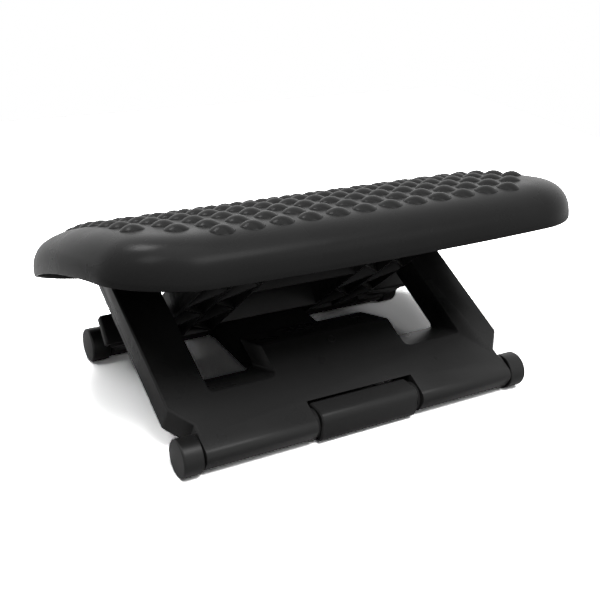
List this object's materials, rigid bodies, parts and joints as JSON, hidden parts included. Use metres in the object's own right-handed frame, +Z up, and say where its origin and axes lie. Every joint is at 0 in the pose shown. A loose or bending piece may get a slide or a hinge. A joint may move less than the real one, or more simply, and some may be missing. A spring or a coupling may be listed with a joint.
{
  "type": "tilting under desk footrest",
  "caption": "Rocking footrest with a curved, domed footplate carried by two crossed legs on rubber feet, with a spreader between the foot bars.",
  "frame": {"origin": "on the floor, under the middle of the object's box at rest", "axes": "+X to the user's left-right width, towards the right in the picture, +Y towards the user and the low heel side, +Z up"},
  "size_m": [0.4554, 0.3132, 0.2028],
  "materials": {
    "tread_plastic": "moulded black plastic with a fine grain",
    "leg_plastic": "moulded black plastic, satin",
    "rubber": "dull black rubber",
    "nylon": "dark grey nylon",
    "steel": "zinc plated steel"
  },
  "bodies": {
    "base": {"spreader": "leg_plastic", "toe_axle": "steel", "toe_bush_left": "nylon", "toe_bush_right": "nylon", "heel_axle": "steel", "heel_bush_left": "nylon", "heel_bush_right": "nylon"},
    "outer_leg": {"outer_leg": "leg_plastic", "toe_foot_left": "rubber", "heel_rod_cap_left": "nylon", "toe_foot_right": "rubber", "heel_rod_cap_right": "nylon", "heel_rod": "steel"},
    "inner_leg": {"inner_leg": "leg_plastic", "heel_foot_left": "rubber", "toe_rod_cap_left": "nylon", "heel_foot_right": "rubber", "toe_rod_cap_right": "nylon", "toe_rod": "steel"},
    "footplate": {"footplate": "tread_plastic", "toe_bracket_left": "nylon", "toe_bracket_right": "nylon", "heel_bracket_left": "nylon", "heel_bracket_right": "nylon", "bracket_screw_1": "steel", "bracket_screw_2": "steel", "bracket_screw_3": "steel", "bracket_screw_4": "steel", "bracket_screw_5": "steel", "bracket_screw_6": "steel", "bracket_screw_7": "steel", "bracket_screw_8": "steel"}
  },
  "joints": [
    {"name": "outer_leg_hinge", "type": "hinge", "parent": "base", "child": "outer_leg", "pos_m": [0, -0.12193, 0.01586], "axis": [1, 0, 0], "range_deg": [0, 8]},
    {"name": "inner_leg_hinge", "type": "hinge", "parent": "base", "child": "inner_leg", "pos_m": [0, 0.08408, 0.01586], "axis": [1, 0, 0], "range_deg": [0, 10.9]},
    {"name": "footplate_hinge", "type": "hinge", "parent": "outer_leg", "child": "footplate", "pos_m": [0, 0.06824, 0.10494], "axis": [1, 0, 0], "range_deg": [0, 14.6]}
  ],
  "couplings": [
    {"joint": "inner_leg_hinge", "follows": "outer_leg_hinge", "ratio": 1.358},
    {"joint": "footplate_hinge", "follows": "outer_leg_hinge", "ratio": 1.82}
  ]
}
